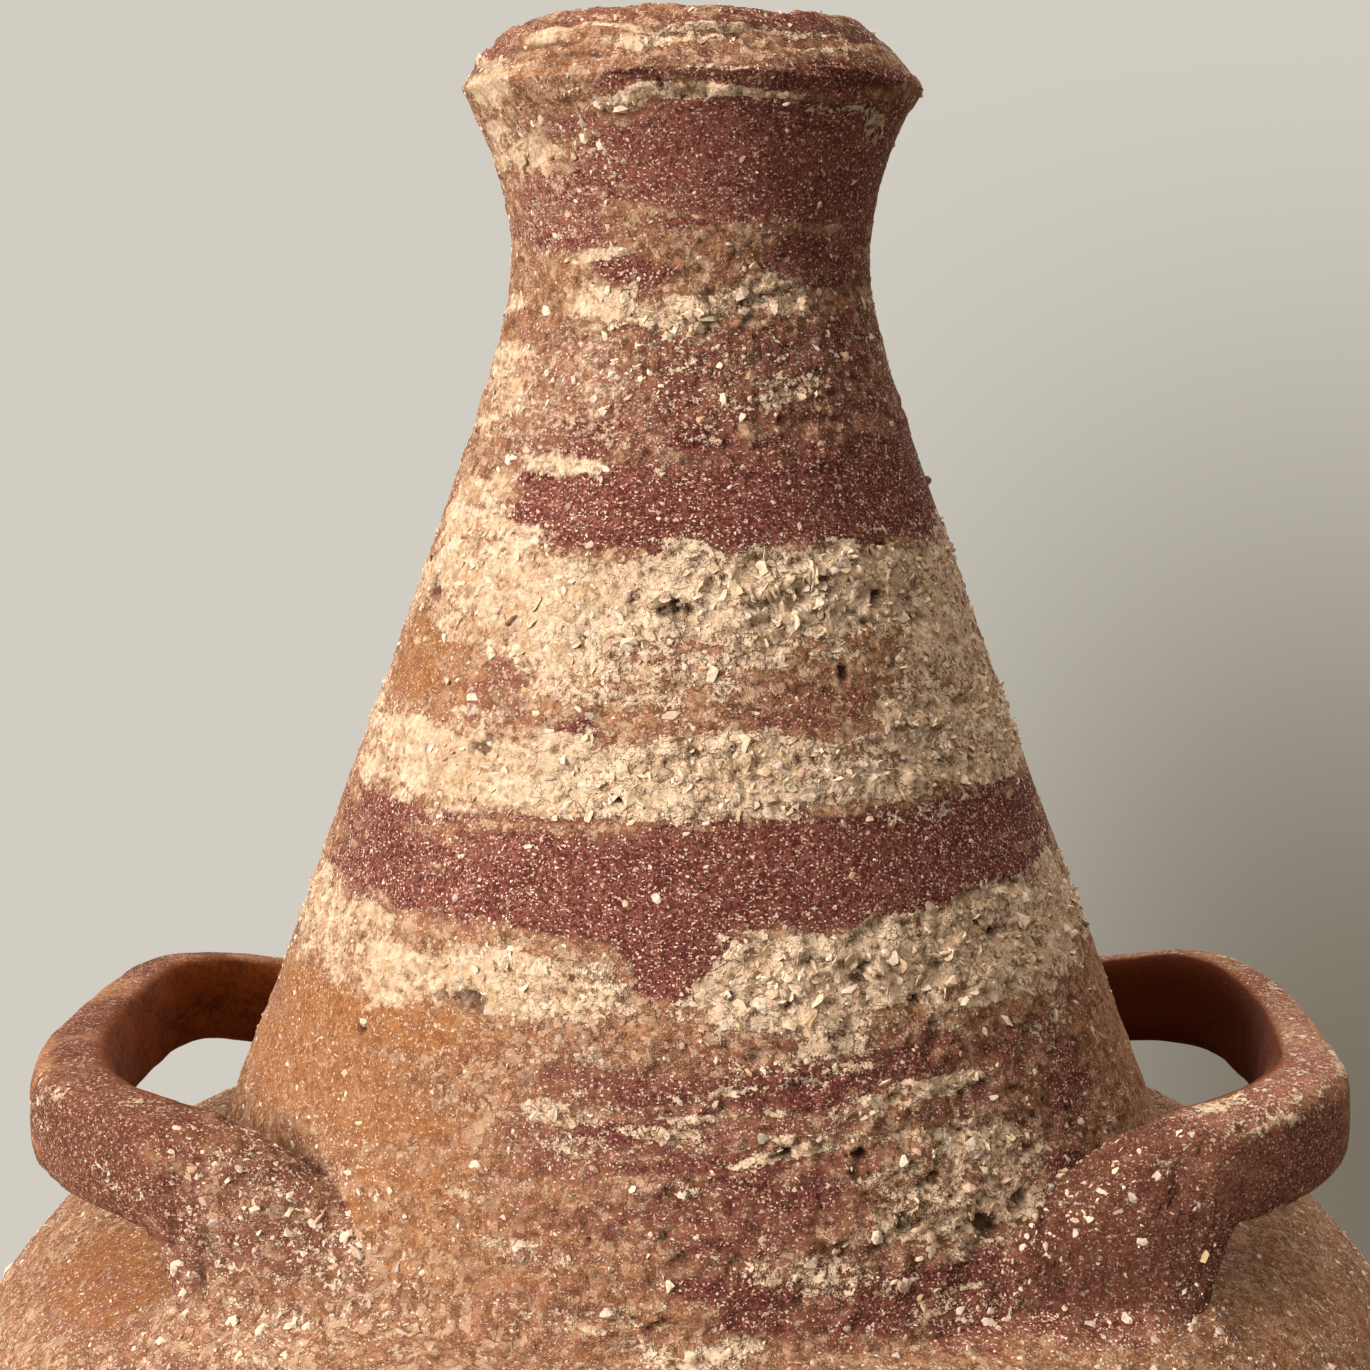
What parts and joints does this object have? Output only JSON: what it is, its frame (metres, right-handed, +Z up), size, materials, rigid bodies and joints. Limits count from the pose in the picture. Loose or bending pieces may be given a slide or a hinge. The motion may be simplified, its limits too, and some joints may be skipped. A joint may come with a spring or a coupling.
{
  "type": "stoneware vase",
  "caption": "Tall unglazed stoneware vase with a round body, long conical neck, bevelled lip and a pair of small strap handles looped round the foot of the neck.",
  "frame": {"origin": "centre of the foot, on the ground", "axes": "+Z up along the vase's axis; +X to the right handle, seen from the front; the front faces -Y"},
  "size_m": [0.3072, 0.3072, 0.5],
  "materials": {
    "red_clay": "matt, unglazed, fine pale grit",
    "ochre_clay": "matt, unglazed, grit and shell flecks",
    "shell_clay": "matt, unglazed, coarse shell temper in marbled bands"
  },
  "bodies": {
    "root": {"base_slab": "ochre_clay", "lower_bowl": "ochre_clay", "shoulder_dome": "ochre_clay", "neck_cone": "shell_clay", "lip_ring": "red_clay", "left_handle_strap": "red_clay", "right_handle_strap": "red_clay", "left_front_root": "red_clay", "left_rear_root": "red_clay", "right_front_root": "red_clay", "right_rear_root": "red_clay"}
  },
  "joints": []
}
